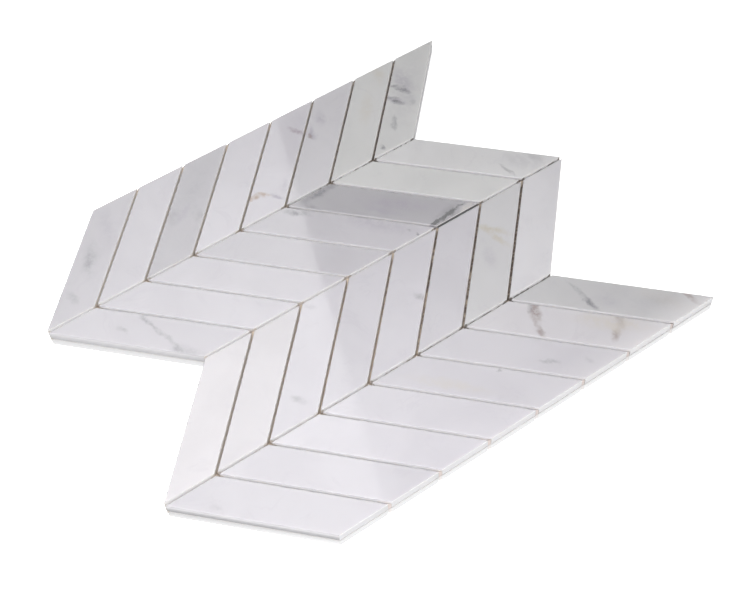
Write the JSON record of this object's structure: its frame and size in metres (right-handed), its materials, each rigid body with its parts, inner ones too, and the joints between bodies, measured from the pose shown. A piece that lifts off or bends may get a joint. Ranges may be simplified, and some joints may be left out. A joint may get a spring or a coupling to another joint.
{
  "type": "chevron marble mosaic tile sheet",
  "caption": "Flat mosaic sheet of slanting polished marble chips laid in a chevron pattern on an open backing net, for bonding to a wall or floor.",
  "frame": {"origin": "under the middle of the sheet, on the underside of the backing net", "axes": "+X across the columns of chips, +Y along the columns, +Z out of the polished faces"},
  "size_m": [0.2904, 0.344, 0.006],
  "materials": {
    "marble": "polished white marble with grey and golden veins",
    "backing_net": "tan glass-fibre net stiffened with brown adhesive"
  },
  "bodies": {
    "root": {"backing_net_back": "backing_net", "backing_net_front": "backing_net", "marble_chip_c1_r1": "marble", "marble_chip_c1_r2": "marble", "marble_chip_c1_r3": "marble", "marble_chip_c1_r4": "marble", "marble_chip_c1_r5": "marble", "marble_chip_c1_r6": "marble", "marble_chip_c1_r7": "marble", "marble_chip_c1_r8": "marble", "marble_chip_c2_r1": "marble", "marble_chip_c2_r2": "marble", "marble_chip_c2_r3": "marble", "marble_chip_c2_r4": "marble", "marble_chip_c2_r5": "marble", "marble_chip_c2_r6": "marble", "marble_chip_c2_r7": "marble", "marble_chip_c2_r8": "marble", "marble_chip_c3_r1": "marble", "marble_chip_c3_r2": "marble", "marble_chip_c3_r3": "marble", "marble_chip_c3_r4": "marble", "marble_chip_c3_r5": "marble", "marble_chip_c3_r6": "marble", "marble_chip_c3_r7": "marble", "marble_chip_c3_r8": "marble", "marble_chip_c4_r1": "marble", "marble_chip_c4_r2": "marble", "marble_chip_c4_r3": "marble", "marble_chip_c4_r4": "marble", "marble_chip_c4_r5": "marble", "marble_chip_c4_r6": "marble", "marble_chip_c4_r7": "marble", "marble_chip_c4_r8": "marble"}
  },
  "joints": []
}
